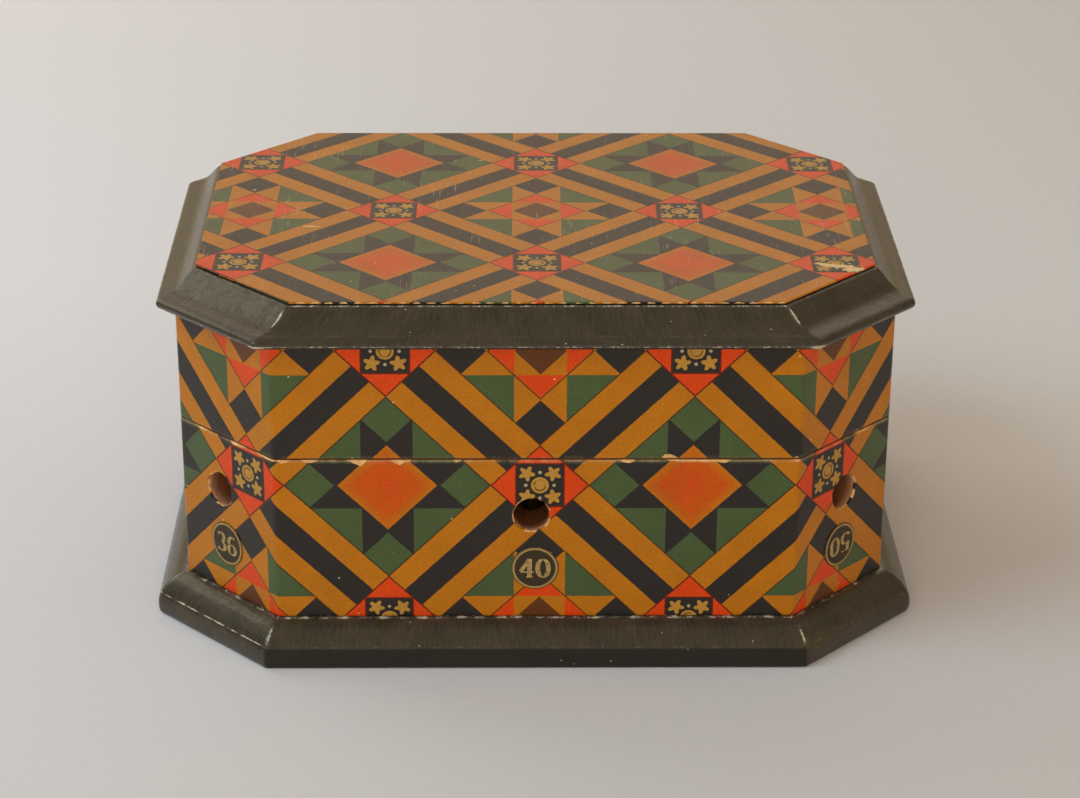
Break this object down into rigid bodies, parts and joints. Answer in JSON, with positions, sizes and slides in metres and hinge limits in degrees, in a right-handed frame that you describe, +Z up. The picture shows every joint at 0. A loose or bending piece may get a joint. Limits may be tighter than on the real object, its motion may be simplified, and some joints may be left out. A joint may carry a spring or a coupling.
{
  "type": "sewing thread box",
  "caption": "Octagonal hinged thread box: paper-covered walls with bored thread holes and number discs, reel spindles inside, black moulded lid and plinth.",
  "frame": {"origin": "middle of the underside of the base board", "axes": "+X to the right along the long side, +Y from the front wall to the hinged back wall, +Z up"},
  "size_m": [0.1658, 0.1282, 0.0796],
  "materials": {
    "black_wood": "ebonised and varnished, satin gloss",
    "carcass_wood": "bare reddish-brown wood",
    "printed_paper": "printed in ochre, black, green and red, varnished",
    "disc_paper": "dark paper with a pale gold ring and number",
    "spindle_wood": "turned, polished",
    "brass": "aged brass"
  },
  "bodies": {
    "base": {"base_board": "black_wood", "base_wall_front": "carcass_wood", "base_wall_front_right": "carcass_wood", "base_wall_right": "carcass_wood", "base_wall_back_right": "carcass_wood", "base_wall_back": "carcass_wood", "base_wall_back_left": "carcass_wood", "base_wall_left": "carcass_wood", "base_wall_front_left": "carcass_wood", "base_paper": "printed_paper", "number_disc_front": "disc_paper", "number_disc_front_right": "disc_paper", "number_disc_back_right": "disc_paper", "number_disc_back": "disc_paper", "number_disc_back_left": "disc_paper", "number_disc_front_left": "disc_paper", "spindle_front_left": "spindle_wood", "spindle_front": "spindle_wood", "spindle_front_right": "spindle_wood", "spindle_back_left": "spindle_wood", "spindle_back": "spindle_wood", "spindle_back_right": "spindle_wood", "hinge_left_base_leaf": "brass", "hinge_left_pin": "brass", "hinge_left_base_screw_1": "brass", "hinge_left_base_screw_2": "brass", "hinge_right_base_leaf": "brass", "hinge_right_pin": "brass", "hinge_right_base_screw_1": "brass", "hinge_right_base_screw_2": "brass"},
    "lid": {"lid_board": "black_wood", "lid_wall_front": "carcass_wood", "lid_wall_front_right": "carcass_wood", "lid_wall_right": "carcass_wood", "lid_wall_back_right": "carcass_wood", "lid_wall_back": "carcass_wood", "lid_wall_back_left": "carcass_wood", "lid_wall_left": "carcass_wood", "lid_wall_front_left": "carcass_wood", "lid_paper": "printed_paper", "top_paper": "printed_paper", "hinge_left_lid_leaf": "brass", "hinge_left_lid_screw_1": "brass", "hinge_left_lid_screw_2": "brass", "hinge_right_lid_leaf": "brass", "hinge_right_lid_screw_1": "brass", "hinge_right_lid_screw_2": "brass"}
  },
  "joints": [
    {"name": "lid_hinge", "type": "hinge", "parent": "base", "child": "lid", "pos_m": [0, 0.0591, 0.0463], "axis": [-1, 0, 0], "range_deg": [0, 110]}
  ]
}
